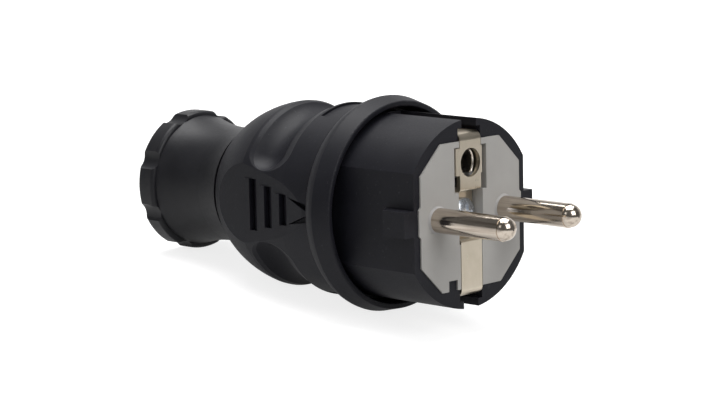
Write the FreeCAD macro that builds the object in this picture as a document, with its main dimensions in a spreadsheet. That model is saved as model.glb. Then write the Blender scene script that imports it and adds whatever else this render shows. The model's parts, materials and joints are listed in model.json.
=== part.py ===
"""Rewirable rubber plug, type F with the earth hole of type E, and a screwed cable gland.

Frame: +X along the plug's axis towards the pins, +Z up with the earth hole above the pins,
origin at the centre of the insert's front face. Sizes are in millimetres.
"""
import FreeCAD, Part
import Sketcher
import math
import os
import re
from FreeCAD import Vector

doc = FreeCAD.newDocument("TypeFPlug")

# Driving sizes. A "back" is a distance behind the front face, a "half" is half a width or height,
# and a "clear" is the gap between a piece and what it fits. A formula ties a size to the ones it follows.
SIZES = {
    # Live pins
    "pin_spacing": 19.0, "pin_dia": 4.8, "pin_length": 19.0, "pin_dome": 2.3, "pin_groove": 0.12,
    "pin_relief": 0.5, "pin_shoulder": 0.4, "pin_collar_step": 1.3, "pin_collar_thick": 1.2,
    "pin_collar_dia": "pin_dia + 2*pin_collar_step", "wire_bore": 3.2, "wire_depth": 9.0,
    "block_length": 12.0, "block_width": 6.0, "block_height": 8.6, "block_round": "block_height/12",
    # Front insert
    "boss_step": 0.6, "boss_dia": "pin_collar_dia + 2*boss_step", "boss_gap": 0.4, "pin_clear": 0.05,
    "insert_half_width": "pin_spacing/2 + boss_dia/2 + boss_gap",
    "insert_half_height": "strip_reach - strip_thick - strip_stand",
    "insert_top_half": 8.4, "insert_side_half": 8.8, "insert_bulge": 0.5, "insert_depth": 16.0,
    "insert_plate": 5.0, "insert_wall": 1.5, "insert_clear": 0.05, "corner_share": 0.4,
    "boss_recess": 2.0, "boss_back": "insert_depth - boss_recess",
    # Folded earth strip
    "strip_half_width": 3.0, "strip_thick": 0.9, "strip_drop": 2.5, "strip_stand": 0.75, "strip_bend": 0.7,
    "strip_reach": "sleeve_radius - strip_drop", "tail_over": 0.5, "strip_tail": "insert_depth + tail_over",
    "strip_clear": 0.15, "channel_clear": "3*strip_clear", "web_margin": 1.55, "web_drop": 0.2,
    "web_back": 2.4, "web_round": 0.6, "web_top": "screw_head_dia/2 + web_margin",
    "web_bottom": "web_top + web_drop",
    "earth_hole_dia": 5.6, "earth_hole_height": 10.0, "cheek_length": 9.0, "cheek_reach": 2.3,
    "cheek_clear": 0.2,
    "cheek_low": "earth_hole_height - cheek_reach", "cheek_high": "pocket_high - cheek_clear",
    "pocket_wall": 1.2, "pocket_clear": 0.1, "pocket_roof": 1.15,
    "pocket_half_width": "strip_half_width + strip_thick + spring_thick + pocket_clear",
    "pocket_high": "insert_half_height - pocket_roof",
    "spring_thick": 0.6, "spring_step": 2.0, "spring_length": "cheek_length - spring_step",
    # Centre screw and earth terminal
    "screw_dia": 4.0, "screw_head_step": 0.95, "screw_head_dia": "screw_dia + 2*screw_head_step",
    "screw_head_high": 1.5, "screw_head_edge": 0.6, "screw_chamfer": 0.5, "screw_short": 2.0,
    "screw_tip_back": "terminal_back - screw_short", "screw_clear": 0.2,
    "cross_wide": 0.9, "cross_long": 3.6, "cross_deep": 0.9,
    "terminal_length": 9.0, "terminal_half": 3.3, "terminal_floor": 1.2, "terminal_web": 1.3,
    "terminal_roof": 1.5,
    "terminal_front": "insert_depth + rib_thick + flange_thick",
    "terminal_back": "terminal_front + terminal_length",
    "terminal_round": "terminal_half/8", "terminal_low": "screw_dia/2 + terminal_floor",
    "earth_wire_height": "screw_dia/2 + wire_bore/2 + terminal_web",
    "terminal_high": "earth_wire_height + wire_bore/2 + terminal_roof", "earth_screw_shift": 1.0,
    "clamp_screw_dia": 3.0, "clamp_head_step": 0.8, "clamp_head_dia": "clamp_screw_dia + 2*clamp_head_step",
    "clamp_head_high": 1.6, "driver_slot": "clamp_head_dia/6",
    # Rear half of the insert
    "rib_thick": 2.0, "rib_step": 1.6, "flange_thick": 2.0, "frame_wall": 1.5, "frame_inset": 0.6,
    "frame_end": "terminal_back + frame_wall", "frame_half_width": "insert_half_width - frame_inset",
    "chamber_clear": 0.2, "chamber_floor": 1.5, "frame_drop": 0.3, "entry_step": 0.5,
    "frame_low": "block_height/2 + chamber_clear + chamber_floor",
    "frame_high": "block_height/2 - frame_drop",
    "entry_dia": "wire_bore + 2*entry_step",
    # Cord clamp
    "cord_dia": 9.0, "saddle_ear": 2.7, "saddle_floor": 2.3, "saddle_top": 1.5, "saddle_tail": 2.0,
    "saddle_end": "clamp_bar_front + clamp_bar_length + saddle_tail",
    "saddle_half_width": "clamp_screw_spacing/2 + saddle_ear", "saddle_low": "cord_dia/2 + saddle_floor",
    "clamp_web": 1.9, "clamp_screw_spacing": "cord_dia + bar_screw_dia + 2*clamp_web",
    "clamp_bar_gap": 2.5, "clamp_bar_front": "frame_end + clamp_bar_gap", "clamp_bar_length": 6.0,
    "clamp_bar_thick": 3.0, "clamp_arch_wall": 1.2, "bar_screw_dia": 3.0, "bar_screw_short": 0.1,
    "bar_screw_length": "saddle_low + clamp_bar_thick - saddle_top - bar_screw_short",
    "nut_step": 1.25, "nut_across": "bar_screw_dia + 2*nut_step", "nut_thick": 2.2,
    # Sleeve of the rubber housing
    "flat_wall": 1.1, "flat_half": "insert_half_width + insert_bulge + insert_clear + flat_wall",
    "flat_depth": 2.65, "sleeve_radius": "flat_half + flat_depth", "sleeve_back": 0.3,
    "guide_half": 2.5, "guide_top_back": 5.9, "guide_slope": 1.7, "guide_root": 1.0,
    "guide_base_back": "guide_top_back + guide_slope",
    "slot_lip": 0.9, "slot_side": 0.2, "slot_room": 0.85, "slot_run": 3.5, "slot_floor": 0.2,
    "slot_half": "strip_half_width - slot_lip", "slot_inner_half": "strip_half_width + slot_side",
    "slot_step": "strip_reach + slot_room", "slot_back": "strip_tail + slot_run",
    "key_gap": 1.2, "key_wide": 2.3, "key_rise": 1.95, "key_clear": 0.1,
    "key_low": "strip_half_width + key_gap", "key_high": "key_low + key_wide",
    "key_top": "insert_half_height - key_rise",
    # Sealing skirt and collar
    "recess_wide": 1.0, "recess_run": 1.4, "recess_draft": 0.4, "recess_back": "skirt_back + recess_run",
    "lip_wall": 1.1, "lip_edge": "lip_wall/3", "lip_back": 18.2,
    "lip_radius": "sleeve_radius + recess_wide + lip_wall",
    "skirt_swell": 0.9, "lip_run": 3.8, "skirt_round": 5.0, "skirt_radius": "lip_radius + skirt_swell",
    "skirt_back": "lip_back + lip_run", "skirt_run": 3.1, "skirt_foot": "skirt_back + skirt_run",
    "foot_drop": 1.5, "skirt_foot_radius": "skirt_radius - foot_drop",
    "collar_drop": 2.1, "collar_radius": "skirt_radius - collar_drop",
    "collar_run": 6.2, "collar_back": "finger_middle - collar_run",
    "window_gap": 1.5, "window_edge": 1.0, "window_depth": 0.45, "window_angle": 50.0,
    "window_front": "skirt_foot + window_gap", "window_back": "collar_back - window_edge",
    # Grip
    "hump_drop": 0.5, "hump_radius": "collar_radius - hump_drop", "hump_back": "thread_front",
    "shoulder_round": 26.0, "thread_length": 13.4, "housing_end": "thread_front + thread_length",
    "end_wall": 1.6, "end_radius": "thread_outer + end_wall", "end_round": 1.4,
    "finger_run": 6.3, "finger_middle": "hump_back - finger_run", "finger_depth": 2.45,
    "finger_floor": "hump_radius - finger_depth", "finger_ball": 5.4, "finger_angle": 110.0,
    "finger_lead": 0.9, "finger_lead_ball": 16.0,
    "panel_run": 6.5, "panel_back": "hump_back + panel_run", "panel_drop": 2.6,
    "panel_half": "hump_radius - panel_drop", "panel_tilt": 7.0,
    "bar_start": 2.35, "bar_back": "hump_back - bar_start", "bar_pitch": 4.8, "bar_width": 2.0,
    "bar_depth": 1.0,
    "bar_half": 5.2, "bar_taper": 1.05, "bar_ridge": 1.5, "bar_ridge_high": 0.35, "bar_root": 0.5,
    "arrow_gap": 0.25, "arrow_base": "bar_back - 2*bar_pitch - bar_width - arrow_gap",
    "arrow_short": 0.3, "arrow_tip": "skirt_foot + arrow_short", "arrow_half": 2.7, "arrow_cut": 1.2,
    "arrow_inner": "arrow_half/8", "arrow_outer": "0.65*arrow_half", "overcut": 1.0, "slot_past": 0.5,
    "key_root": 1.0,
    # Housing inside
    "cavity_run": 2.5, "cavity_back": "frame_end + cavity_run",
    "wiring_clear": 0.6, "wiring_radius": "sqrt(saddle_half_width^2 + saddle_low^2) + wiring_clear",
    "wiring_run": 2.0, "wiring_back": "saddle_end + wiring_run",
    "throat_step": 1.7, "throat_radius": "seal_bore/2 + throat_step",
    # Gland
    "throat_length": 2.5, "thread_front": "wiring_back + throat_length", "thread_rib": 0.5,
    "thread_wall": 1.2,
    "seal_wall": 5.2, "thread_root": "seal_bore/2 + seal_wall",
    "tube_wall": 1.3, "thread_outer": "thread_root + tube_wall", "thread_clear": 0.05, "thread_end_gap": 0.3,
    "cord_clear": 0.3, "seal_bore": "cord_dia + 2*cord_clear", "seal_length": 5.5,
    "seal_lead": "seal_length/6", "seal_clear": 0.15,
    "ring_thick": 1.2, "ring_step": 0.95, "ring_bore": "seal_bore + 2*ring_step", "nut_gap": 0.3,
    "nut_clear": 1.0, "nut_bore": "cord_dia + 2*nut_clear", "mouth_flare": 4.0,
    "nut_mouth": "nut_bore + 2*mouth_flare",
    "flare_drop": 0.4, "nut_flare": "end_radius - flare_drop", "waist_drop": 0.6,
    "nut_waist": "nut_flare - waist_drop", "waist_run": 5.6, "nut_waist_back": "housing_end + waist_run",
    "cone_run": 11.1, "nut_cone_back": "nut_waist_back + cone_run", "cone_rise": 1.7,
    "nut_cone": "nut_waist + cone_rise", "rim_step": 1.0, "rim_radius": "nut_cone + rim_step",
    "rim_length": 4.7, "nut_back": "nut_cone_back + rim_length", "rim_round": 0.9,
    "lobe_count": 8, "lobe_depth": 1.0, "lobe_notch": 2.6,
    "nut_waist_round": 24.0, "nut_cone_round": 37.0, "nut_trumpet_round": 30.0,
}

sheet = doc.addObject("Spreadsheet::Sheet", "Sizes")
for row, (alias, size) in enumerate(SIZES.items(), start=1):
    sheet.set("A%d" % row, alias)
    sheet.setAlias("B%d" % row, alias)
for row, size in enumerate(SIZES.values(), start=1):
    sheet.set("B%d" % row, "=" + size if isinstance(size, str) else str(size))
sheet.recompute()
workings = doc.addObject("Spreadsheet::Sheet", "Workings")


def formula(text):
    """A formula of sizes as an expression that other objects understand."""
    return re.sub(r"[a-z][a-z_]+", lambda word: "Sizes." + word[0] if word[0] in SIZES else word[0],
                  str(text))


def value(text):
    """What a formula of sizes comes to now, worked out in a sheet of its own."""
    workings.set("A1", "=" + formula(text))
    workings.recompute()
    return float(workings.get("A1"))


def bind(item, name, text):
    """Ties one property to a formula of sizes."""
    item.setExpression(name, formula(text))


def new_body(label):
    body = doc.addObject("PartDesign::Body", label)
    body.Label = label
    return body


def sketch_on(body, plane, name, at=("0", "0", "0")):
    """An empty sketch on one of the body's origin planes, with its own origin at the place given."""
    drawn = body.newObject("Sketcher::SketchObject", name + "_sketch")
    role = plane + "_Plane"
    drawn.AttachmentSupport = [([item for item in body.Origin.OriginFeatures if item.Role == role][0], "")]
    drawn.MapMode = "FlatFace"
    across = {"XY": (at[0], at[1], at[2]), "XZ": (at[0], at[2], "-(%s)" % at[1]), "YZ": (at[1], at[2], at[0])}
    for axis, text in zip("xyz", across[plane]):
        if text not in ("0", "-(0)"):
            bind(drawn, "AttachmentOffset.Base." + axis, text)
    return drawn


def arc_between(start, end, radius):
    """The short arc from start to end: its centre lies left of the way for a positive radius."""
    chord = end - start
    size = abs(radius)
    rise = math.sqrt(max(size ** 2 - (chord.Length / 2) ** 2, 0.0))
    left = Vector(-chord.y, chord.x, 0).normalize()
    centre = (start + end) * 0.5 + left * (rise if radius > 0 else -rise)
    first, last = (start, end) if radius > 0 else (end, start)
    angles = [math.atan2(spot.y - centre.y, spot.x - centre.x) for spot in (first, last)]
    if angles[1] < angles[0]:
        angles[1] += 2 * math.pi
    return Part.ArcOfCircle(Part.Circle(centre, Vector(0, 0, 1), size), angles[0], angles[1])


def draw(drawn, corners):
    """A closed outline. A corner is (across, up), or (across, up, radius) where an arc leads to the next one.
    ("circle", diameter, across, up) stands for a whole circle."""
    if corners[0] == "circle":
        draw_circle(drawn, *corners[1:])
        return
    spots = [Vector(value(corner[0]), value(corner[1]), 0) for corner in corners]
    ends, ties = [], []
    for number, corner in enumerate(corners):
        start, end = spots[number], spots[(number + 1) % len(spots)]
        if len(corner) == 2:
            ends.append((drawn.addGeometry(Part.LineSegment(start, end)), 1, 2))
            continue
        radius = value(corner[2])
        edge = drawn.addGeometry(arc_between(start, end, radius))
        ends.append((edge, 1, 2) if radius > 0 else (edge, 2, 1))
        ties.append((Sketcher.Constraint("Radius", edge, abs(radius)), "abs(%s)" % corner[2]))
    joints = []
    for number, corner in enumerate(corners):
        edge, start, _ = ends[number]
        before, _, end = ends[number - 1]
        joints.append(Sketcher.Constraint("Coincident", before, end, edge, start))
        ties.append((Sketcher.Constraint("DistanceX", -1, 1, edge, start, spots[number].x), corner[0]))
        ties.append((Sketcher.Constraint("DistanceY", -1, 1, edge, start, spots[number].y), corner[1]))
    drawn.addConstraint(joints)
    tie(drawn, ties)


def draw_circle(drawn, diameter, across="0", up="0"):
    """A circle whose diameter and centre are formulas."""
    centre = Vector(value(across), value(up), 0)
    edge = drawn.addGeometry(Part.Circle(centre, Vector(0, 0, 1), value(diameter) / 2))
    tie(drawn, [(Sketcher.Constraint("Diameter", edge, value(diameter)), diameter),
                (Sketcher.Constraint("DistanceX", -1, 1, edge, 3, centre.x), across),
                (Sketcher.Constraint("DistanceY", -1, 1, edge, 3, centre.y), up)])


def tie(drawn, ties):
    """Adds constraints and binds each one's size to its formula."""
    numbers = drawn.addConstraint([constraint for constraint, _ in ties])
    for number, (_, text) in zip(numbers, ties):
        if re.search("[a-z]", text):
            drawn.setExpression("Constraints[%d]" % number, formula(text))


def volume(body):
    return 0.0 if body.Shape.isNull() else body.Shape.Volume


def grown(body, feature, before, cut):
    """Recomputes and makes sure that the feature added, or cut away, what it should."""
    doc.recompute()
    change = body.Shape.Volume - before
    if not feature.isValid() or abs(change) < 1e-4 or (change < 0) != cut:
        raise ValueError("%s %s changed the volume by %.3f" % (body.Label, feature.Name, change))
    return feature


def prism(body, name, plane, low, high, *outlines, at=None, cut=False):
    """Outlines on a plane, drawn out from low to high along the plane's axis."""
    before = volume(body)
    along = {"XY": 2, "XZ": 1, "YZ": 0}[plane]
    place = list(at or ("0", "0", "0"))
    place[along] = high if plane == "XZ" else low
    drawn = sketch_on(body, plane, name, place)
    for outline in outlines:
        draw(drawn, outline)
    feature = body.newObject("PartDesign::" + ("Pocket" if cut else "Pad"), name)
    feature.Profile = drawn
    feature.Reversed = cut
    bind(feature, "Length", "(%s) - (%s)" % (high, low))
    return grown(body, feature, before, cut)


def turned(body, name, outline, axis="X", at=("0", "0", "0"), cut=False, angle=None):
    """An outline turned about an axis through the place given. An angle is centred on the sketch's plane."""
    before = volume(body)
    drawn = sketch_on(body, "XY" if axis == "Y" else "XZ", name, at)
    draw(drawn, outline)
    feature = body.newObject("PartDesign::" + ("Groove" if cut else "Revolution"), name)
    feature.Profile = drawn
    feature.ReferenceAxis = (drawn, ["H_Axis" if axis == "X" else "V_Axis"])
    feature.Angle = 360
    if angle:
        feature.Midplane = True
        bind(feature, "Angle", angle)
    return grown(body, feature, before, cut)


def dress(body, kind, name, size, test, cut=True):
    """A fillet or chamfer on the edges that pass a test."""
    before = volume(body)
    base = body.Tip
    chosen = ["Edge%d" % number for number, edge in enumerate(base.Shape.Edges, start=1) if test(edge)]
    if not chosen:
        raise ValueError("%s %s finds no edge" % (body.Label, name))
    feature = body.newObject("PartDesign::" + kind, name)
    feature.Base = (base, chosen)
    bind(feature, "Radius" if kind == "Fillet" else "Size", size)
    return grown(body, feature, before, cut)


def near(first, second, slack=0.01):
    return abs(first - second) < slack


def box(left, right, low, high):
    """The four corners of a rectangle."""
    return [(left, low), (right, low), (right, high), (left, high)]


def plus_minus(half, low, high):
    """The four corners of a rectangle that is centred across."""
    return box("-(%s)" % half, half, low, high)


def insert_outline(grow="0"):
    """The insert's octagon with a tongue on each side, made larger all round by a clearance."""
    wide, tall = "insert_half_width + %s" % grow, "insert_half_height + %s" % grow
    top, side = "insert_top_half + (%s)*corner_share" % grow, "insert_side_half + (%s)*corner_share" % grow
    tongue = "insert_half_width + insert_bulge + %s" % grow
    quarter = [(top, tall), (wide, side), (wide, "guide_half + insert_bulge"), (tongue, "guide_half")]
    right = quarter + [(across, "-(%s)" % up) for across, up in reversed(quarter)]
    left = [("-(%s)" % across, up) for across, up in reversed(right)]
    return right + left


def make_pin(label, side):
    """A live pin: domed shaft with a slimmer neck, collar behind the insert's boss, and a wire block."""
    body = new_body(label)
    middle = "%d*pin_spacing/2" % side
    collar_back = "-(boss_back + pin_collar_thick)"
    dome = "pin_dia/2 - pin_groove"
    neck = "pin_dia/2 - pin_relief"
    turned(body, label + "_shaft", [
        (collar_back, "0"), (collar_back, "pin_collar_dia/2"), ("-boss_back", "pin_collar_dia/2"),
        ("-boss_back", neck), ("pin_shoulder", neck), ("pin_shoulder", "pin_dia/2"),
        ("pin_length - pin_dome", "pin_dia/2"),
        ("pin_length - pin_dome", dome, "-(pin_dome^2 + (%s)^2)/(2*pin_dome)" % dome), ("pin_length", "0"),
    ], at=("0", middle, "0"))
    prism(body, label + "_block", "YZ", block_back, collar_back,
          plus_minus("block_width/2", "-block_height/2", "block_height/2"), at=("0", middle, "0"))
    dress(body, "Fillet", label + "_block_edges", "block_round",
          lambda edge: near(edge.Length, value("block_length")))
    prism(body, label + "_wire_bore", "YZ", block_back, block_back + " + wire_depth",
          ("circle", "wire_bore"), at=("0", middle, "0"), cut=True)
    prism(body, label + "_screw_hole", "XY", "0", "block_height/2",
          ("circle", "clamp_screw_dia"), at=(block_screw_x, middle, "0"), cut=True)
    return body


block_back = "-(boss_back + pin_collar_thick + block_length)"
block_screw_x = block_back + " + wire_depth/2"


def make_pin_carrier():
    """The grey front insert: an octagonal cup with bosses, the earth pocket and the strip's channel."""
    body = new_body("pin_carrier")
    back = "-insert_depth"
    prism(body, "cup", "YZ", back, "0", insert_outline())
    prism(body, "cup_hollow", "YZ", back, "-insert_plate", insert_outline("-insert_wall"), cut=True)
    for label, side in (("line", -1), ("neutral", 1)):
        prism(body, label + "_boss", "YZ", "-boss_back", "-insert_plate",
              ("circle", "boss_dia", "%d*pin_spacing/2" % side, "0"))
    prism(body, "centre_boss", "YZ", back, "-insert_plate", ("circle", "boss_dia"))
    prism(body, "earth_tower", "YZ", back, "-insert_plate",
          plus_minus("pocket_half_width + pocket_wall", "web_top - pocket_wall",
                     "insert_half_height - insert_wall/2"))
    for label, low, high in (("upper", "insert_half_height - insert_wall/2", "strip_reach - strip_thick"),
                             ("lower", "strip_thick - strip_reach", "insert_wall/2 - insert_half_height")):
        prism(body, label + "_rail", "YZ", back, "-(strip_thick + strip_bend)",
              plus_minus("strip_half_width - strip_clear", low, high))
    prism(body, "earth_pocket", "YZ", back, "0",
          plus_minus("pocket_half_width", "web_top", "pocket_high"), cut=True)
    prism(body, "web_channel", "YZ", "-(web_back + strip_thick)", "0",
          plus_minus("strip_half_width + channel_clear", "-(web_bottom + strip_thick)",
                     "web_top + strip_thick"),
          cut=True)
    for label, low, high in (("upper", "pocket_high - strip_clear", "insert_half_height"),
                             ("lower", "-insert_half_height", "-web_bottom")):
        prism(body, label + "_strip_seat", "YZ", "-strip_thick", "0",
              plus_minus("strip_half_width + strip_clear", low, high), cut=True)
    prism(body, "key_notch", "YZ", back, "0",
          box("-(key_high + key_clear)", "key_clear - key_low", "-insert_half_height - overcut",
              "key_clear - key_top"),
          cut=True)
    for label, across, size in (("line", "-pin_spacing/2", "pin_dia + 2*pin_clear"),
                                ("centre", "0", screw_hole),
                                ("neutral", "pin_spacing/2", "pin_dia + 2*pin_clear")):
        prism(body, label + "_hole", "YZ", back, "0", ("circle", size, across, "0"), cut=True)
    return body


screw_hole = "screw_dia + 2*screw_clear"


def make_earth_contact():
    """One folded strip: two outer arms, the plate with the earth hole and the web under the centre screw."""
    body = new_body("earth_contact")
    bend = "(strip_thick + strip_bend)"
    jog = "web_top"
    half = [(("-strip_tail"), "strip_reach"), ("-" + bend, "strip_reach", "-" + bend),
            ("0", "strip_reach - " + bend), ("0", jog), ("-web_back", jog)]
    front = half + [("-web_back", "-web_bottom"), ("0", "-web_bottom"),
                    ("0", bend + " - strip_reach", "-" + bend), ("-" + bend, "-strip_reach"),
                    ("-strip_tail", "-strip_reach")]
    rear = [("-strip_tail", "strip_thick - strip_reach"),
            ("-" + bend, "strip_thick - strip_reach", "strip_bend"),
            ("-strip_thick", bend + " - strip_reach"), ("-strip_thick", "-(web_bottom + strip_thick)"),
            ("-(web_back + strip_thick)", "-(web_bottom + strip_thick)"),
            ("-(web_back + strip_thick)", jog + " + strip_thick"), ("-strip_thick", jog + " + strip_thick"),
            ("-strip_thick", "strip_reach - " + bend, "strip_bend"),
            ("-" + bend, "strip_reach - strip_thick"),
            ("-strip_tail", "strip_reach - strip_thick")]
    prism(body, "strip", "XZ", "-strip_half_width", "strip_half_width", front + rear)
    folds = [value(jog), -value("web_bottom")]
    dress(body, "Fillet", "fold_rounds", "web_round",
          lambda edge: near(edge.Length, 2 * value("strip_half_width")) and near(edge.BoundBox.XLength, 0)
          and near(edge.BoundBox.XMax, 0) and any(near(edge.BoundBox.ZMax, fold) for fold in folds))
    for label, side in (("left", -1), ("right", 1)):
        inner, outer = "%d*strip_half_width" % side, "%d*(strip_half_width + strip_thick)" % side
        prism(body, label + "_cheek", "XY", "cheek_low", "cheek_high",
              [("-cheek_length", inner), ("-cheek_length", outer),
               ("-strip_thick", outer, "%d*strip_thick" % -side),
               ("0", inner), ("-strip_thick", "%d*(strip_half_width - strip_thick)" % side),
               ("-strip_thick", inner)])
    prism(body, "earth_hole", "YZ", "-2*strip_thick", "0",
          ("circle", "earth_hole_dia", "0", "earth_hole_height"), cut=True)
    prism(body, "screw_hole", "YZ", "-(web_back + 2*strip_thick)", "-web_back", ("circle", screw_hole),
          cut=True)
    return body


def make_earth_spring():
    """The spring-steel clip that squeezes the cheeks behind the earth hole."""
    body = new_body("earth_spring")
    inner = "strip_half_width + strip_thick"
    outer = inner + " + spring_thick"
    low, top = "cheek_low - spring_thick", "cheek_high - strip_clear"
    prism(body, "clip", "YZ", "-cheek_length", "spring_length - cheek_length",
          [("-(%s)" % outer, low), (outer, low), (outer, top), (inner, top), (inner, "cheek_low"),
           ("-(%s)" % inner, "cheek_low"), ("-(%s)" % inner, top), ("-(%s)" % outer, top)])
    return body


def make_centre_screw():
    """A pan-head screw with a cross recess that clamps both halves of the insert together."""
    body = new_body("centre_screw")
    edge, lift = "screw_head_dia/2", "screw_head_edge"
    rise = "(screw_head_high - %s)" % lift
    turned(body, "screw", [
        ("-screw_tip_back", "0"), ("-screw_tip_back", "screw_dia/2 - screw_chamfer"),
        ("screw_chamfer - screw_tip_back", "screw_dia/2"),
        ("-web_back", "screw_dia/2"), ("-web_back", edge),
        ("%s - web_back" % lift, edge, "-((%s)^2 + %s^2)/(2*%s)" % (edge, rise, rise)),
        ("screw_head_high - web_back", "0"),
    ])
    top = "screw_head_high - web_back"
    for label, wide, tall in (("level", "cross_long", "cross_wide"), ("upright", "cross_wide", "cross_long")):
        prism(body, label + "_cut", "YZ", "%s - cross_deep" % top, top,
              plus_minus("(%s)/2" % wide, "-(%s)/2" % tall, "(%s)/2" % tall), cut=True)
    return body


def make_earth_terminal():
    """The brass block behind the insert: the centre screw's nut and the earth wire's clamp."""
    body = new_body("earth_terminal")
    prism(body, "block", "YZ", "-terminal_back", "-terminal_front",
          plus_minus("terminal_half", "-terminal_low", "terminal_high"))
    dress(body, "Fillet", "block_edges", "terminal_round",
          lambda edge: near(edge.Length, value("terminal_back - terminal_front")))
    prism(body, "thread_hole", "YZ", "-terminal_back", "-terminal_front",
          ("circle", "screw_dia + 2*thread_clear"), cut=True)
    prism(body, "wire_bore", "YZ", "-terminal_back", "-terminal_front - terminal_roof",
          ("circle", "wire_bore", "0", "earth_wire_height"), cut=True)
    prism(body, "clamp_hole", "XY", "earth_wire_height", "terminal_high",
          ("circle", "clamp_screw_dia"), at=(earth_screw_x, "0", "0"), cut=True)
    return body


earth_screw_x = "-(terminal_back + terminal_front)/2 - earth_screw_shift"


def make_clamp_screw(label, place, top, depth):
    """A slotted wire screw that stands upright in its block, with its head on the block's top."""
    body = new_body(label)
    shank = "clamp_screw_dia/2 - thread_clear"
    head_top = "%s + clamp_head_high" % top
    turned(body, label + "_turned", [
        ("0", "%s - %s" % (top, depth)), (shank, "%s - %s" % (top, depth)), (shank, top),
        ("clamp_head_dia/2", top), ("clamp_head_dia/2", head_top), ("0", head_top),
    ], axis="Z", at=(place[0], place[1], "0"))
    prism(body, label + "_slot", "XY", "%s - clamp_head_high/2" % head_top, head_top,
          plus_minus("clamp_head_dia", "-driver_slot/2", "driver_slot/2"),
          at=(place[0], place[1], "0"), cut=True)
    return body


def make_terminal_frame():
    """The rear half of the insert: flange, wiring chambers and the cord saddle behind them."""
    body = new_body("terminal_frame")
    front, step, back = "-insert_depth", "-(insert_depth + rib_thick)", "-terminal_front"
    prism(body, "spigot", "YZ", step, front, insert_outline("-(rib_step + insert_clear)"))
    prism(body, "flange", "YZ", back, step, insert_outline())
    prism(body, "chambers", "YZ", "-frame_end", back,
          plus_minus("frame_half_width", "-frame_low", "frame_high"))
    prism(body, "saddle_tongue", "YZ", "-saddle_end", "-frame_end",
          plus_minus("saddle_half_width", "-saddle_low", "-saddle_top"))
    prism(body, "cord_groove", "YZ", "-saddle_end", "-frame_end", ("circle", "cord_dia"), cut=True)
    for label, side in (("line", -1), ("neutral", 1)):
        middle = "%d*pin_spacing/2" % side
        tall = "block_height/2 + chamber_clear"
        prism(body, label + "_chamber", "YZ", block_back + " - chamber_clear", front,
              plus_minus("block_width/2 + chamber_clear", "-(%s)" % tall, tall), at=("0", middle, "0"),
              cut=True)
        prism(body, label + "_entry", "YZ", "-frame_end", block_back + " - chamber_clear",
              ("circle", "entry_dia", middle, "0"), cut=True)
    prism(body, "earth_chamber", "YZ", "-(terminal_back + chamber_clear)", back,
          plus_minus("terminal_half + chamber_clear", "-(terminal_low + chamber_clear)",
                     "terminal_high"), cut=True)
    prism(body, "earth_entry", "YZ", "-frame_end", back, ("circle", "entry_dia", "0", "earth_wire_height"),
          cut=True)
    prism(body, "centre_hole", "YZ", "-frame_end", front, ("circle", screw_hole), cut=True)
    for label, side in (("left", -1), ("right", 1)):
        middle = "%d*clamp_screw_spacing/2" % side
        prism(body, label + "_bar_hole", "XY", "-saddle_low", "-saddle_top",
              ("circle", "bar_screw_dia + 2*screw_clear"), at=(bar_middle, middle, "0"), cut=True)
        prism(body, label + "_nut_seat", "XY", "-saddle_low", "nut_thick - saddle_low",
              hexagon("nut_across + 2*chamber_clear"), at=(bar_middle, middle, "0"), cut=True)
    return body


bar_middle = "-(clamp_bar_front + clamp_bar_length/2)"


def hexagon(across):
    """A hexagon by its width across flats, with two flats facing the plug's sides."""
    size = "(%s)/2" % across
    slant, point = "%s*tan(30 deg)" % size, "%s/cos(30 deg)" % size
    return [(point, "0"), (slant, size), ("-" + slant, size), ("-" + point, "0"),
            ("-" + slant, "-" + size), (slant, "-" + size)]


def make_clamp_bar():
    """The bar that presses the cord into the saddle: an arch between two ears."""
    body = new_body("cord_clamp_bar")
    inner, outer = "cord_dia/2", "(cord_dia/2 + clamp_arch_wall)"
    foot, ear = "-saddle_top", "(clamp_bar_thick - saddle_top)"
    inside = "sqrt((%s)^2 - saddle_top^2)" % inner
    shoulder = "sqrt(%s^2 - %s^2)" % (outer, ear)
    prism(body, "bar", "YZ", "-(clamp_bar_front + clamp_bar_length)", "-clamp_bar_front", [
        ("saddle_half_width", foot), ("saddle_half_width", ear), (shoulder, ear, outer),
        ("0", outer, outer), ("-" + shoulder, ear), ("-saddle_half_width", ear), ("-saddle_half_width", foot),
        ("-" + inside, foot, "-" + inner), ("0", inner, "-" + inner), (inside, foot)])
    for label, side in (("left", -1), ("right", 1)):
        prism(body, label + "_hole", "XY", foot, ear, ("circle", "bar_screw_dia + 2*screw_clear"),
              at=(bar_middle, "%d*clamp_screw_spacing/2" % side, "0"), cut=True)
    return body


def make_bar_screw(label, side):
    """A pan-head screw that stands in one ear of the clamp bar."""
    body = new_body(label)
    seat = "clamp_bar_thick - saddle_top"
    shank = "bar_screw_dia/2 - thread_clear"
    turned(body, label + "_turned", [
        ("0", "%s - bar_screw_length" % seat), (shank, "%s - bar_screw_length" % seat), (shank, seat),
        ("clamp_head_dia/2", seat), ("clamp_head_dia/2", "%s + clamp_head_high" % seat),
        ("0", "%s + clamp_head_high" % seat),
    ], axis="Z", at=(bar_middle, "%d*clamp_screw_spacing/2" % side, "0"))
    prism(body, label + "_slot", "XY", "%s + clamp_head_high/2" % seat, "%s + clamp_head_high" % seat,
          plus_minus("clamp_head_dia", "-driver_slot/2", "driver_slot/2"),
          at=(bar_middle, "%d*clamp_screw_spacing/2" % side, "0"), cut=True)
    return body


def make_bar_nut(label, side):
    """The hexagon nut that sits captive under the saddle."""
    body = new_body(label)
    place = (bar_middle, "%d*clamp_screw_spacing/2" % side, "0")
    prism(body, label + "_hexagon", "XY", "-saddle_low", "nut_thick - saddle_low", hexagon("nut_across"),
          at=place)
    prism(body, label + "_thread", "XY", "-saddle_low", "nut_thick - saddle_low",
          ("circle", "bar_screw_dia"), at=place, cut=True)
    return body


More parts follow.
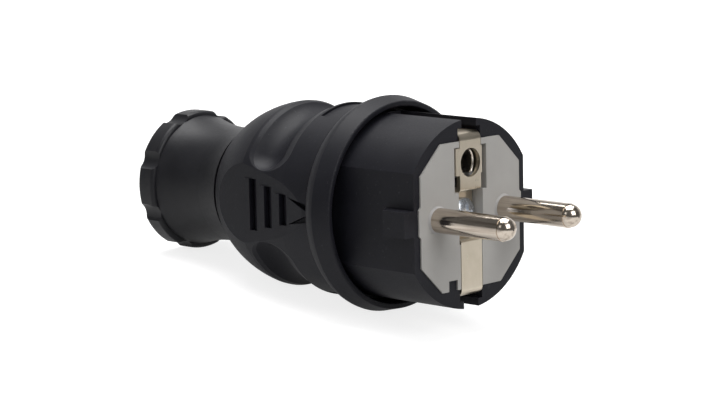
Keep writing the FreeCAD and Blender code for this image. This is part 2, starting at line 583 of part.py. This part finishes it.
def sleeve_profile():
    """The moulded-in thread sleeve's outside: two ribs hold it in the rubber."""
    back = "housing_end - thread_end_gap"
    run = "(%s - thread_front)/5" % back
    corners = [("-(%s)" % back, "0"), ("-(%s)" % back, "thread_outer")]
    for step in (1, 3):
        rib_back, rib_front = "-(%s) + %d*%s" % (back, step, run), "-(%s) + %d*%s" % (back, step + 1, run)
        corners += [(rib_back, "thread_outer"), (rib_back, "thread_outer + thread_rib"),
                    (rib_front, "thread_outer + thread_rib"), (rib_front, "thread_outer")]
    return corners + [("-thread_front", "thread_outer"), ("-thread_front", "0")]


def make_thread_sleeve():
    """The plastic sleeve in the rubber that the gland nut screws into, with a front wall for the bush."""
    body = new_body("thread_sleeve")
    turned(body, "sleeve", sleeve_profile())
    seat = "-(thread_front + thread_wall)"
    turned(body, "bore", [("-housing_end", "0"), ("-housing_end", "thread_root + thread_clear"),
                          (seat, "thread_root + thread_clear"), (seat, "0")], cut=True)
    prism(body, "throat", "YZ", seat, "-thread_front", ("circle", "2*throat_radius"), cut=True)
    return body


seal_front = "-(thread_front + thread_wall)"
seal_back = "-(thread_front + thread_wall + seal_length)"


def make_cord_seal():
    """The rubber bush round the cord, with a soft rounded lip inside at each end."""
    body = new_body("cord_seal")
    outer, inner = "thread_root + thread_clear - seal_clear", "seal_bore/2"
    turned(body, "bush", [
        (seal_back, inner + " + seal_lead"), (seal_back, outer), (seal_front, outer),
        (seal_front, inner + " + seal_lead"), (seal_front + " - seal_lead", inner),
        (seal_back + " + seal_lead", inner)])
    return body


def make_pressure_ring():
    """The loose ring that slides ahead of the nut, so that the turning nut doesn't drag the bush."""
    body = new_body("pressure_ring")
    turned(body, "ring", [
        (seal_back + " - ring_thick", "ring_bore/2"),
        (seal_back + " - ring_thick", "thread_root - thread_clear"),
        (seal_back, "thread_root - thread_clear"), (seal_back, "ring_bore/2")])
    return body


def make_gland_nut():
    """The gland nut: thread spigot, waist, cone and a rim of rounded lobes, with a trumpet mouth."""
    body = new_body("gland_nut")
    front = seal_back + " - ring_thick"
    shoulder = "-(housing_end + nut_gap)"
    rim_front = "nut_cone_back + rim_round"
    turned(body, "outside", [
        (front, "nut_bore/2"), (front, "thread_root"), (shoulder, "thread_root"),
        (shoulder, "nut_flare", "-nut_waist_round"), ("-nut_waist_back", "nut_waist", "-nut_cone_round"),
        ("-nut_cone_back", "nut_cone"), ("-nut_cone_back", "rim_radius - rim_round", "rim_round"),
        ("-(%s)" % rim_front, "rim_radius"), ("rim_round - nut_back", "rim_radius", "rim_round"),
        ("-nut_back", "rim_radius - rim_round"), ("-nut_back", "nut_mouth/2", "nut_trumpet_round"),
        ("-nut_waist_back", "nut_bore/2")])
    prism(body, "notch", "YZ", "-nut_back", "-nut_cone_back",
          ("circle", "2*lobe_notch", "(%s)*cos(180 deg/lobe_count)" % notch_reach,
           "(%s)*sin(180 deg/lobe_count)" % notch_reach), cut=True)
    pattern = body.newObject("PartDesign::PolarPattern", "notches")
    pattern.Originals = [body.Tip]
    pattern.Axis = ([item for item in body.Origin.OriginFeatures if item.Role == "X_Axis"][0], [""])
    bind(pattern, "Occurrences", "lobe_count")
    before = volume(body)
    body.Tip = pattern
    grown(body, pattern, before, True)
    return body


notch_reach = "rim_radius - lobe_depth + lobe_notch"


def skirt_and_grip():
    """The housing's turned outline, from the foot of the skirt's recess back to the gland."""
    return [
        ("-recess_back", "0"), ("-recess_back", "lip_radius - lip_wall - recess_draft"),
        ("-lip_back", "lip_radius - lip_wall"),
        ("-lip_back", "lip_radius"), ("-skirt_back", "skirt_radius", "skirt_round"),
        ("-skirt_foot", "skirt_foot_radius"), ("-skirt_foot", "collar_radius"),
        ("-collar_back", "collar_radius"),
        ("-hump_back", "hump_radius", "shoulder_round"),
        ("-(housing_end - end_round)", "end_radius + end_round/2"),
        ("-housing_end", "end_radius - end_round/2"), ("-housing_end", "0")]


def sleeve_outline():
    """The plug's sleeve across: round, with a flat on each side."""
    tall = "sqrt(sleeve_radius^2 - flat_half^2)"
    return [("flat_half", "-" + tall), ("flat_half", tall, "sleeve_radius"),
            ("0", "sleeve_radius", "sleeve_radius"),
            ("-flat_half", tall), ("-flat_half", "-" + tall, "sleeve_radius"),
            ("0", "-sleeve_radius", "sleeve_radius")]


def add_guides(body):
    """The rib on each flat that slides in the socket's groove, sloped at its rear end."""
    for label, side in (("left", -1), ("right", 1)):
        root, top = "%d*(flat_half - guide_root)" % side, "%d*sleeve_radius" % side
        flat = "%d*flat_half" % side
        prism(body, label + "_guide", "XY", "-guide_half", "guide_half", [
            ("-guide_base_back", root), ("-sleeve_back", root), ("-sleeve_back", top),
            ("-guide_top_back", top),
            ("-guide_base_back", flat)])


def cut_insert_cavity(body):
    """The room for both halves of the insert, with the rib between them, and the key in its floor."""
    front, step = "-insert_depth", "-(insert_depth + rib_thick)"
    prism(body, "insert_seat", "YZ", front, "0", insert_outline("insert_clear"), cut=True)
    prism(body, "rib_opening", "YZ", step, front, insert_outline("-rib_step"), cut=True)
    prism(body, "frame_seat", "YZ", "-cavity_back", step, insert_outline("insert_clear"), cut=True)
    turned(body, "wiring_room", [("-wiring_back", "0"), ("-wiring_back", "wiring_radius"),
                                 ("-cavity_back", "wiring_radius"), ("-cavity_back", "0")], cut=True)
    prism(body, "throat", "YZ", "-thread_front", "-wiring_back", ("circle", "2*throat_radius"), cut=True)
    turned(body, "thread_seat",
           [("-housing_end", "0"), ("-housing_end", "thread_outer")] + sleeve_profile()[1:],
           cut=True)
    prism(body, "key", "YZ", front, "-sleeve_back",
          box("-key_high", "-key_low", "-(insert_half_height + key_root)", "-key_top"))


def cut_contact_slots(body):
    """The undercut slots above and below, where the socket's earth springs reach the strip."""
    for label, side in (("upper", 1), ("lower", -1)):
        floor, step, open_air = ("%d*%s" % (side, size) for size in
                                 ("(insert_half_height - slot_floor)", "slot_step",
                                  "(sleeve_radius + slot_past)"))
        low, high = (floor, step) if side > 0 else (step, floor)
        prism(body, label + "_slot_room", "YZ", "-slot_back", "0", plus_minus("slot_inner_half", low, high),
              cut=True)
        low, high = (floor, open_air) if side > 0 else (open_air, floor)
        prism(body, label + "_slot_mouth", "YZ", "-slot_back", "0", plus_minus("slot_half", low, high),
              cut=True)


def cut_windows(body):
    """The shallow bare recess in the collar, above and below."""
    floor = "collar_radius - window_depth"
    for label, side in (("upper", 1), ("lower", -1)):
        turned(body, label + "_window", [
            ("-window_back", "%d*(%s)" % (side, floor)), ("-window_front", "%d*(%s)" % (side, floor)),
            ("-window_front", "%d*(collar_radius + overcut)" % side),
            ("-window_back", "%d*(collar_radius + overcut)" % side)],
               cut=True, angle="window_angle")


def cut_finger_grooves(body):
    """The rounded groove for thumb and finger, above and below: its shallow lead, then the groove itself."""
    for label, side in (("upper", 1), ("lower", -1)):
        cut_thumb_way(body, label + "_lead", side, "(hump_radius - finger_lead)", "finger_lead_ball")
        cut_thumb_way(body, label + "_finger", side, "finger_floor", "finger_ball")


def cut_thumb_way(body, name, side, floor, ball):
    """A groove round the grip with the cross-section of a ball, and half a ball at each end."""
    reach = "(%s + %s)" % (floor, ball)
    turned(body, name + "_groove", ("circle", "2*" + ball, "-finger_middle", "%d*%s" % (side, reach)),
           cut=True, angle="finger_angle")
    half_ball = [("-(finger_middle + %s)" % ball, "0", "-" + ball), ("-finger_middle", ball, "-" + ball),
                 ("%s - finger_middle" % ball, "0")]
    for end, across in (("left", -1), ("right", 1)):
        turned(body, "%s_%s_end" % (name, end), half_ball,
               at=("0", "%d*%s*sin(finger_angle/2 * 1 deg)" % (across, reach),
                   "%d*%s*cos(finger_angle/2 * 1 deg)" % (side, reach)), cut=True)


def panel_at(across):
    """Half the grip's width over its tilted side panels, at a place along the axis."""
    return "(panel_half + (panel_back + (%s))*tan(panel_tilt * 1 deg))" % across


def cut_side_panels(body):
    """The tilted flat on each side of the grip, with the three bars and the arrow in it."""
    for label, side in (("left", -1), ("right", 1)):
        front, back = "-skirt_foot", "-(housing_end + overcut)"
        prism(body, label + "_panel", "XY", "-collar_radius", "collar_radius", [
            (back, "%d*%s" % (side, panel_at(back))), (front, "%d*%s" % (side, panel_at(front))),
            (front, "%d*(collar_radius + 3*overcut)" % side),
            (back, "%d*(collar_radius + 3*overcut)" % side)], cut=True)
        for number in range(3):
            cut_bar(body, label, side, number)
        cut_arrow(body, label, side)


def cut_bar(body, label, side, number):
    """One bar of the arrow: a ridge, then a groove that is steep at the ridge and runs out forwards."""
    back = "(%d*bar_pitch - bar_back)" % number
    half = "(bar_half - %d*bar_taper)" % number
    ridge_back, front = "(%s - bar_ridge)" % back, "(%s + bar_width)" % back
    name = "%s_bar_%d" % (label, number + 1)
    prism(body, name + "_ridge", "XY", "-" + half, half, [
        (ridge_back, "%d*(%s - bar_root)" % (side, panel_at(ridge_back))),
        (back, "%d*(%s - bar_root)" % (side, panel_at(back))),
        (back, "%d*(%s + bar_ridge_high)" % (side, panel_at(back))),
        (ridge_back, "%d*(%s + bar_ridge_high)" % (side, panel_at(ridge_back)))])
    prism(body, name + "_groove", "XY", "-" + half, half, [
        (back, "%d*(%s - bar_depth)" % (side, panel_at(back))), (front, "%d*%s" % (side, panel_at(front))),
        (front, "%d*(%s + overcut)" % (side, panel_at(front))),
        (back, "%d*(%s + overcut)" % (side, panel_at(back)))],
          cut=True)


def cut_arrow(body, label, side):
    """The arrow's head stays at the panel's level between two wedges that are cut beside it."""
    low, high = ("-(collar_radius + overcut)", "arrow_cut - collar_radius") if side < 0 else \
        ("collar_radius - arrow_cut", "collar_radius + overcut")
    for edge, sign in (("upper", 1), ("lower", -1)):
        prism(body, "%s_arrow_%s" % (label, edge), "XZ", low, high, [
            ("-arrow_base", "%d*arrow_half" % sign), ("-arrow_tip", "%d*arrow_inner" % sign),
            ("-arrow_tip", "%d*arrow_outer" % sign)], cut=True)


def make_rubber_housing():
    """The one-piece rubber body: sleeve, sealing skirt, collar and grip."""
    body = new_body("rubber_housing")
    turned(body, "skirt_and_grip", skirt_and_grip())
    dress(body, "Fillet", "lip_round", "lip_edge", lambda edge: near(edge.BoundBox.XMax, -value("lip_back")))
    prism(body, "sleeve", "YZ", "-recess_back", "-sleeve_back", sleeve_outline())
    add_guides(body)
    cut_insert_cavity(body)
    cut_contact_slots(body)
    cut_windows(body)
    cut_finger_grooves(body)
    cut_side_panels(body)
    return body


make_rubber_housing()
make_thread_sleeve()
make_cord_seal()
make_pressure_ring()
make_gland_nut()
make_pin("line_pin", -1)
make_pin("neutral_pin", 1)
make_pin_carrier()
make_earth_contact()
make_earth_spring()
make_centre_screw()
make_earth_terminal()
make_clamp_screw("line_clamp_screw", (block_screw_x, "-pin_spacing/2"), "block_height/2", "wire_bore")
make_clamp_screw("neutral_clamp_screw", (block_screw_x, "pin_spacing/2"), "block_height/2", "wire_bore")
make_clamp_screw("earth_clamp_screw", (earth_screw_x, "0"), "terminal_high",
                 "(terminal_high - earth_wire_height)")
make_terminal_frame()
make_clamp_bar()
for name, side in (("left", -1), ("right", 1)):
    make_bar_screw("cord_clamp_screw_" + name, side)
    make_bar_nut("cord_clamp_nut_" + name, side)

for item in doc.Objects:
    if "Invalid" in item.State or "Error" in item.State:
        raise ValueError("%s is %s" % (item.Label, item.State))
pieces = [item for item in doc.Objects if item.TypeId == "PartDesign::Body"]
for piece in pieces:
    if piece.Shape.isNull() or not piece.Shape.isValid():
        raise ValueError("%s has no sound shape" % piece.Label)
os.makedirs("parts", exist_ok=True)
for piece in pieces:
    piece.Shape.exportStep("parts/%s.step" % piece.Label)
    print("%-22s %9.1f mm3" % (piece.Label, piece.Shape.Volume))
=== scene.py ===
"""The type F plug dressed for its photograph: materials, moulded detail, studio light and camera."""
import json
import math

import bpy
from mathutils import Matrix, Vector


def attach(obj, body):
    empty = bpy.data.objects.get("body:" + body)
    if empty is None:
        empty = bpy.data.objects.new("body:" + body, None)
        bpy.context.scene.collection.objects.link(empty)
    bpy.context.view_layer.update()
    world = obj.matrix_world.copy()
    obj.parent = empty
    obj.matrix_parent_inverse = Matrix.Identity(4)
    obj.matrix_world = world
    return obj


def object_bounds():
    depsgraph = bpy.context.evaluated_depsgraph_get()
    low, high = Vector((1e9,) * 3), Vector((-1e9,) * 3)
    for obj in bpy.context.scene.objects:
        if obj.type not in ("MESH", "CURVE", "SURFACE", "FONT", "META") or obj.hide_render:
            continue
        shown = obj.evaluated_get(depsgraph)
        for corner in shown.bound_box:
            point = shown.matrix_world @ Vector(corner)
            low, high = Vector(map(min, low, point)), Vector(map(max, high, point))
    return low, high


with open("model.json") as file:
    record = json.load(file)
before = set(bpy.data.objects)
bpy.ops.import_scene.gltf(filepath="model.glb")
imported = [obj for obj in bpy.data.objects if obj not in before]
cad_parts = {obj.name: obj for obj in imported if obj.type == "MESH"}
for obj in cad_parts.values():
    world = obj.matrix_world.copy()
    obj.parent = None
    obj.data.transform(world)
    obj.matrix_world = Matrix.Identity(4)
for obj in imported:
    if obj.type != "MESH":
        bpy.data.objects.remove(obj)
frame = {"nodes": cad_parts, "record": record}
cad_low, cad_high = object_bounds()

MM = 0.001

# The photograph's camera, fitted to the pins, the sleeve and the skirt
CAMERA_AZIMUTH = 44.185
CAMERA_ELEVATION = 8.977
CAMERA_ROLL = -1.207
CAMERA_OFFSET = (-21.386 * MM, 1.977 * MM, 520.0 * MM)
CAMERA_FOCAL_PX = 2702.9
IMAGE_WIDTH_PX = 720.0
SENSOR_MM = 36.0
CAMERA_CLIP = (0.01, 20)


def camera_axes():
    """The camera's right, up and back directions in the object's frame."""
    azimuth, elevation = math.radians(CAMERA_AZIMUTH), math.radians(CAMERA_ELEVATION)
    roll = math.radians(CAMERA_ROLL)
    back = Vector((math.sin(azimuth) * math.cos(elevation), -math.cos(azimuth) * math.cos(elevation),
                   math.sin(elevation)))
    level = Vector((math.cos(azimuth), math.sin(azimuth), 0))
    upright = back.cross(level)
    right = math.cos(roll) * level + math.sin(roll) * upright
    up = math.cos(roll) * upright - math.sin(roll) * level
    return right, up, back


def make_camera():
    """The camera at the photograph's place, with its lens."""
    right, up, back = camera_axes()
    data = bpy.data.cameras.new("camera")
    data.sensor_width = SENSOR_MM
    data.lens = CAMERA_FOCAL_PX / IMAGE_WIDTH_PX * SENSOR_MM
    data.clip_start, data.clip_end = CAMERA_CLIP
    camera = bpy.data.objects.new("camera", data)
    bpy.context.scene.collection.objects.link(camera)
    place = right * CAMERA_OFFSET[0] + up * CAMERA_OFFSET[1] + back * CAMERA_OFFSET[2]
    turn = Matrix((right, up, back)).transposed().to_4x4()
    camera.matrix_world = Matrix.Translation(place) @ turn
    bpy.context.scene.camera = camera


# Studio: a pale floor under the plug, a white surround and soft lamps

WORLD_LIGHT = 0.4
FLAG_LIGHT = 0.12
BEHIND_FADE = (0.1, 0.8)
HEIGHT_FADE = (0.3, 0.7)
FLOOR_GLOW = 0.80
FLOOR_COLOUR = 0.38
FLOOR_MIRRORED = (0.0, 0.34)
FLOOR_FADE = (-0.13, -0.03)
SKIRT_REST = Vector((-0.0235, 0, -0.0215))
RIM_REST = Vector((-0.079, 0, -0.0146))
FLOOR_REACH = 1.6
TOP_PLACE, TOP_SIZE, TOP_WATTS = (-0.07, 0.1, 0.8), 0.8, 10.8
FRONT_PLACE, FRONT_SIZE, FRONT_WATTS = (0.7, -0.1, 0.42), 0.5, 3.0
SIDE_RIGHT, SIDE_UP, SIDE_BACK, SIDE_SIZE, SIDE_WATTS = -0.62, 0.36, 0.60, 0.3, 0.3


def new_material(name):
    """An empty node material with its Principled shader."""
    material = bpy.data.materials.new(name)
    material.use_nodes = True
    return material, material.node_tree, material.node_tree.nodes["Principled BSDF"]


def add_node(tree, kind, **settings):
    """A node with its settings, and with inputs given by name or number in a dict."""
    node = tree.nodes.new(kind)
    for socket, setting in settings.pop("inputs", {}).items():
        if isinstance(setting, bpy.types.NodeSocket):
            tree.links.new(setting, node.inputs[socket])
        else:
            node.inputs[socket].default_value = setting
    for name, setting in settings.items():
        setattr(node, name, setting)
    return node


def mapped(tree, fac, low, high, start=0.0, end=1.0, smooth=False):
    """Turns start..end into low..high, and stops there."""
    node = add_node(tree, "ShaderNodeMapRange", inputs={
        "Value": fac, "From Min": start, "From Max": end, "To Min": low, "To Max": high})
    if smooth:
        node.interpolation_type = "SMOOTHSTEP"
    return node.outputs["Result"]


def worked_out(tree, operation, first, second):
    """The result of one sum, product or maximum of two values."""
    return add_node(tree, "ShaderNodeMath", operation=operation, inputs={0: first, 1: second}).outputs[0]


def along_view(tree, place, direction):
    """How far a place lies along a level direction."""
    node = add_node(tree, "ShaderNodeVectorMath", operation="DOT_PRODUCT",
                    inputs={0: place, 1: (direction.x, direction.y, 0.0)})
    return node.outputs["Value"]


def blended(tree, factor, first, second):
    """One colour that turns into another as the factor grows. Sockets 6, 7 and 2 are the node's colour ones."""
    return add_node(tree, "ShaderNodeMix", data_type="RGBA",
                    inputs={"Factor": factor, 6: first, 7: second}).outputs[2]


def by_ray(tree, lit, mirrored, direct):
    """One value for rays that light things, one for glossy rays, and one for what the camera sees."""
    path = add_node(tree, "ShaderNodeLightPath")
    value = add_node(tree, "ShaderNodeMix", inputs={
        "Factor": path.outputs["Is Glossy Ray"], 2: lit, 3: mirrored})
    shown = worked_out(tree, "MAXIMUM", path.outputs["Is Camera Ray"], path.outputs["Is Transmission Ray"])
    return add_node(tree, "ShaderNodeMix", inputs={"Factor": shown, 2: value.outputs[0], 3: direct}).outputs[0]


def make_world():
    """A plain white surround. Glossy surfaces see it white low behind the plug, and dark elsewhere."""
    world = bpy.data.worlds.new("surround")
    world.use_nodes = True
    bpy.context.scene.world = world
    tree = world.node_tree
    place = add_node(tree, "ShaderNodeTexCoord").outputs["Generated"]
    facing = along_view(tree, place, -camera_axes()[2])
    behind = mapped(tree, facing, 0.0, 1.0, *BEHIND_FADE, smooth=True)
    height = add_node(tree, "ShaderNodeSeparateXYZ", inputs={0: place}).outputs["Z"]
    low = mapped(tree, height, 1.0, 0.0, *HEIGHT_FADE, smooth=True)
    mirrored = mapped(tree, worked_out(tree, "MULTIPLY", behind, low), FLAG_LIGHT, 1.0)
    background = tree.nodes["Background"]
    background.inputs["Color"].default_value = (1, 1, 1, 1)
    tree.links.new(by_ray(tree, WORLD_LIGHT, mirrored, 1.0), background.inputs["Strength"])


def make_floor():
    """A pale floor that the skirt and the nut's rim rest on. Metal sees it dimmer towards the left."""
    along = (SKIRT_REST - RIM_REST).normalized()
    middle = (SKIRT_REST + RIM_REST) / 2
    mesh = bpy.data.meshes.new("floor")
    corners = [middle + along * (FLOOR_REACH * i) + Vector((0, FLOOR_REACH * j, 0))
               for i, j in ((-1, -1), (1, -1), (1, 1), (-1, 1))]
    mesh.from_pydata(corners, [], [(0, 1, 2, 3)])
    floor = bpy.data.objects.new("floor", mesh)
    bpy.context.scene.collection.objects.link(floor)
    material, tree, shader = new_material("pale_floor")
    shader.inputs["Base Color"].default_value = (FLOOR_COLOUR, FLOOR_COLOUR, FLOOR_COLOUR, 1)
    shader.inputs["Roughness"].default_value = 1.0
    shader.inputs["Specular IOR Level"].default_value = 0.0
    shader.inputs["Emission Color"].default_value = (1, 1, 1, 1)
    place = add_node(tree, "ShaderNodeTexCoord").outputs["Object"]
    side = along_view(tree, place, camera_axes()[0])
    mirrored = mapped(tree, side, *FLOOR_MIRRORED, *FLOOR_FADE, smooth=True)
    tree.links.new(by_ray(tree, 0.0, mirrored, FLOOR_GLOW), shader.inputs["Emission Strength"])
    mesh.materials.append(material)


def add_lamp(name, place, size, watts):
    """A soft square lamp that points at the plug's middle."""
    data = bpy.data.lights.new(name, "AREA")
    data.size = size
    data.energy = watts
    lamp = bpy.data.objects.new(name, data)
    bpy.context.scene.collection.objects.link(lamp)
    middle = (cad_low + cad_high) / 2
    lamp.location = middle + Vector(place)
    lamp.rotation_mode = "QUATERNION"
    lamp.rotation_quaternion = (middle - lamp.location).to_track_quat("-Z", "Y")


def make_lamps():
    """A broad lamp above, one in front that lights the insert, and a weak one at the left for highlights."""
    add_lamp("top_lamp", TOP_PLACE, TOP_SIZE, TOP_WATTS)
    add_lamp("front_lamp", FRONT_PLACE, FRONT_SIZE, FRONT_WATTS)
    right, up, back = camera_axes()
    add_lamp("side_lamp", right * SIDE_RIGHT + up * SIDE_UP + back * SIDE_BACK, SIDE_SIZE, SIDE_WATTS)


# Materials

# Painted reflection: brownish streaks that run with a metal's grain stand in for the dark reflections its
# surround would give.
REFLECTION_STREAK_COLOUR, REFLECTION_STREAK_RANGE = (0.22, 0.165, 0.12, 1), (0.48, 0.68)
DUST_COLOUR, DUST_RANGE, DUST_SCALE = (0.12, 0.125, 0.13, 1), (0.70, 0.78), 1600.0
PATCH_RANGE = (0.3, 0.7)
GLOSS_RANGE = (0.6, 1.4)


def noise(tree, place, scale, detail=3.0, stretch=(1, 1, 1)):
    """Noise in the piece's own metres, stretched along its axes where asked."""
    spot = add_node(tree, "ShaderNodeMapping", inputs={"Vector": place, "Scale": stretch})
    return add_node(tree, "ShaderNodeTexNoise", inputs={
        "Vector": spot.outputs["Vector"], "Scale": scale, "Detail": detail}).outputs["Fac"]


def finish(name, dark, light, rough, patch=120.0, grain=3000.0, depth=0.00001, stretch=(1, 1, 1), metal=0.0,
           shine=0.5, dust=0.0, streak=0.0):
    """A finish whose colour and gloss vary in soft patches. Its fine grain can run one way and carry painted
    reflection, dark brownish streaks in the colour, and dust can lie on it."""
    material, tree, shader = new_material(name)
    place = add_node(tree, "ShaderNodeTexCoord").outputs["Object"]
    patches = noise(tree, place, patch)
    colour = blended(tree, mapped(tree, patches, 0.0, 1.0, *PATCH_RANGE), (*dark, 1), (*light, 1))
    grains = noise(tree, place, grain, 2.0, stretch)
    # Painted reflection: dark brownish streaks along the grain, blended into the colour.
    if streak:
        colour = blended(tree, mapped(tree, grains, 0.0, streak, *REFLECTION_STREAK_RANGE), colour, REFLECTION_STREAK_COLOUR)
    if dust:
        specks = mapped(tree, noise(tree, place, DUST_SCALE, 1.0), 0.0, dust, *DUST_RANGE)
        colour = blended(tree, specks, colour, DUST_COLOUR)
    tree.links.new(colour, shader.inputs["Base Color"])
    mixed = worked_out(tree, "ADD", patches, grains)
    tree.links.new(mapped(tree, mixed, *rough, *GLOSS_RANGE), shader.inputs["Roughness"])
    bump = add_node(tree, "ShaderNodeBump", inputs={"Strength": 1.0, "Distance": depth, "Height": grains})
    tree.links.new(bump.outputs["Normal"], shader.inputs["Normal"])
    shader.inputs["Metallic"].default_value = metal
    shader.inputs["Specular IOR Level"].default_value = shine
    return material


def make_finishes():
    """One finish for each material slot of the part, and one for the spring leaves."""
    return {
        "black_rubber": finish("rubber", (0.0062, 0.0062, 0.0095), (0.009, 0.009, 0.013), (0.46, 0.56),
                               patch=160, grain=2600, depth=0.000012, shine=0.22, dust=0.1),
        "black_nut_plastic": finish("nut_plastic", (0.0078, 0.0078, 0.01), (0.0115, 0.0115, 0.0142),
                                    (0.36, 0.46), patch=200, grain=1500, shine=0.3),
        "black_inner_plastic": finish("inner_plastic", (0.02, 0.02, 0.022), (0.026, 0.026, 0.028), (0.45, 0.6)),
        "grey_plastic": finish("grey_plastic", (0.325, 0.315, 0.30), (0.355, 0.345, 0.33), (0.5, 0.62),
                               patch=150, grain=4000, depth=0.000008),
        # The pins carry painted reflection: dark brownish streaks in their colour.
        "nickel_plated": finish("nickel", (0.59, 0.52, 0.44), (0.67, 0.59, 0.505), (0.11, 0.21),
                                patch=300, grain=500, depth=0.000012, stretch=(0.12, 3, 3), metal=1.0,
                                streak=0.5),
        "nickel_strip": finish("nickel_strip", (0.58, 0.515, 0.41), (0.65, 0.58, 0.475), (0.26, 0.36),
                               patch=300, grain=900, depth=0.000008, stretch=(1, 4, 0.2), metal=1.0),
        "brass": finish("brass", (0.72, 0.53, 0.22), (0.80, 0.62, 0.30), (0.25, 0.4), metal=1.0),
        "zinc_steel": finish("zinc", (0.66, 0.70, 0.76), (0.76, 0.79, 0.83), (0.2, 0.32), patch=500, metal=1.0),
        "spring_steel": finish("spring_steel", (0.38, 0.38, 0.39), (0.46, 0.46, 0.47), (0.25, 0.4), metal=1.0),
        "bright_spring": finish("bright_spring", (0.62, 0.58, 0.52), (0.7, 0.66, 0.6), (0.2, 0.3), metal=1.0),
        "seal_rubber": finish("seal_rubber", (0.016, 0.016, 0.017), (0.022, 0.022, 0.023), (0.6, 0.75)),
    }


EDGE_ROUNDS = {"rubber_housing": 0.25 * MM, "gland_nut": 0.5 * MM, "pin_carrier": 0.15 * MM,
               "earth_contact": 0.12 * MM}
SMALL_ROUND = 0.1 * MM
ROUND_SEGMENTS = 3
SHARP_ANGLE = math.radians(40)


def round_edges(node, width):
    """Softens a moulded or pressed piece's sharp edges."""
    bevel = node.modifiers.new("edge_rounds", "BEVEL")
    bevel.width = width
    bevel.segments = ROUND_SEGMENTS
    bevel.limit_method = "ANGLE"
    bevel.angle_limit = SHARP_ANGLE


def dress_nodes():
    """Gives each CAD node the finish of its slot, and rounds its edges."""
    finishes = make_finishes()
    slots = {row["node"]: row["material_slot"] for row in frame["record"]["subparts"]}
    for name, node in frame["nodes"].items():
        node.data.materials.clear()
        node.data.materials.append(finishes[slots[name]])
        round_edges(node, EDGE_ROUNDS.get(name, SMALL_ROUND))


# Details that the solids leave out

LEAF_MIDDLE = Vector((0, 0, 10.0)) * MM
LEAF_BEND = 3.57 * MM
LEAF_INNER = 2.07 * MM
LEAF_HALF_HEIGHT = 2.3 * MM
LEAF_THICK = 0.22 * MM
LEAF_FRONT, LEAF_BACK = -1.2 * MM, -7.5 * MM
LEAF_SPREAD, LEAF_GRIP = 1.2 * MM, 0.35
LEAF_STEPS = 12


def add_piece(name, vertices, faces, material, body="root"):
    """A detail made as its own mesh, which rides on a body."""
    mesh = bpy.data.meshes.new(name)
    mesh.from_pydata(vertices, [], faces)
    mesh.materials.append(material)
    mesh.shade_smooth()
    piece = bpy.data.objects.new(name, mesh)
    bpy.context.scene.collection.objects.link(piece)
    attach(piece, body)
    return piece


def grid_faces(rows, columns):
    """The quads of a grid of points that is listed row by row."""
    return [(row * columns + column, row * columns + column + 1, (row + 1) * columns + column + 1,
             (row + 1) * columns + column) for row in range(rows - 1) for column in range(columns - 1)]


def add_earth_leaves():
    """The bowed spring leaf on each side behind the earth hole, which opens towards the back."""
    steel = bpy.data.materials["bright_spring"]
    sweep = math.asin(LEAF_HALF_HEIGHT / LEAF_BEND)
    for name, side in (("earth_leaf_left", -1), ("earth_leaf_right", 1)):
        points = []
        for row in range(LEAF_STEPS + 1):
            along = row / LEAF_STEPS
            reach = LEAF_INNER + LEAF_SPREAD * (along - LEAF_GRIP) ** 2
            for column in range(LEAF_STEPS + 1):
                angle = sweep * (2 * column / LEAF_STEPS - 1)
                points.append(LEAF_MIDDLE + Vector((
                    LEAF_FRONT + (LEAF_BACK - LEAF_FRONT) * along,
                    side * (reach - LEAF_BEND * (1 - math.cos(angle))), LEAF_BEND * math.sin(angle))))
        leaf = add_piece(name, points, grid_faces(LEAF_STEPS + 1, LEAF_STEPS + 1), steel)
        solid = leaf.modifiers.new("thickness", "SOLIDIFY")
        solid.thickness = LEAF_THICK
        solid.offset = 0


PIN_SPACING = 19.0 * MM
LIP_STEPS = 40
LIP_PROFILE = ((-1.0, 1.92), (-1.0, 2.43), (-0.03, 2.43), (-0.03, 2.8), (0.05, 2.62), (0.15, 2.5), (0.28, 2.43),
               (0.37, 2.4), (0.37, 1.92))


def add_pin_lips():
    """The moulded lip of the insert round each pin's neck, which closes the neck's gap."""
    grey = bpy.data.materials["grey_plastic"]
    for name, side in (("pin_lip_left", -1), ("pin_lip_right", 1)):
        points = []
        for step in range(LIP_STEPS + 1):
            angle = 2 * math.pi * step / LIP_STEPS
            for along, reach in LIP_PROFILE + LIP_PROFILE[:1]:
                points.append((along * MM, side * PIN_SPACING / 2 + reach * MM * math.cos(angle),
                               reach * MM * math.sin(angle)))
        add_piece(name, points, grid_faces(LIP_STEPS + 1, len(LIP_PROFILE) + 1), grey)


THREAD_FRONT, THREAD_BACK = -54.2 * MM, -58.7 * MM
THREAD_PITCH = 2.0 * MM
THREAD_ROOT, THREAD_CREST, THREAD_HALF = 9.9 * MM, 10.45 * MM, 0.7 * MM
THREAD_STEPS, THREAD_FADE = 40, 8


def add_thread():
    """The thread round the nut's spigot: one ridge that fades in and out at its ends."""
    turns = (THREAD_FRONT - THREAD_BACK) / THREAD_PITCH
    steps = round(turns * THREAD_STEPS)
    points = []
    for step in range(steps + 1):
        angle = -2 * math.pi * step / THREAD_STEPS
        along = THREAD_FRONT - THREAD_PITCH * step / THREAD_STEPS
        grown = min(1.0, THREAD_FADE * step / steps, THREAD_FADE * (steps - step) / steps)
        crest = THREAD_ROOT + (THREAD_CREST - THREAD_ROOT) * grown
        for shift, reach in ((-THREAD_HALF, THREAD_ROOT), (0, crest), (THREAD_HALF, THREAD_ROOT)):
            points.append((along + shift, reach * math.cos(angle), reach * math.sin(angle)))
    add_piece("nut_thread", points, grid_faces(steps + 1, 3), bpy.data.materials["nut_plastic"], "nut")


bpy.context.scene.view_settings.view_transform = "Standard"
make_camera()
make_world()
make_floor()
make_lamps()
dress_nodes()
add_earth_leaves()
add_pin_lips()
add_thread()
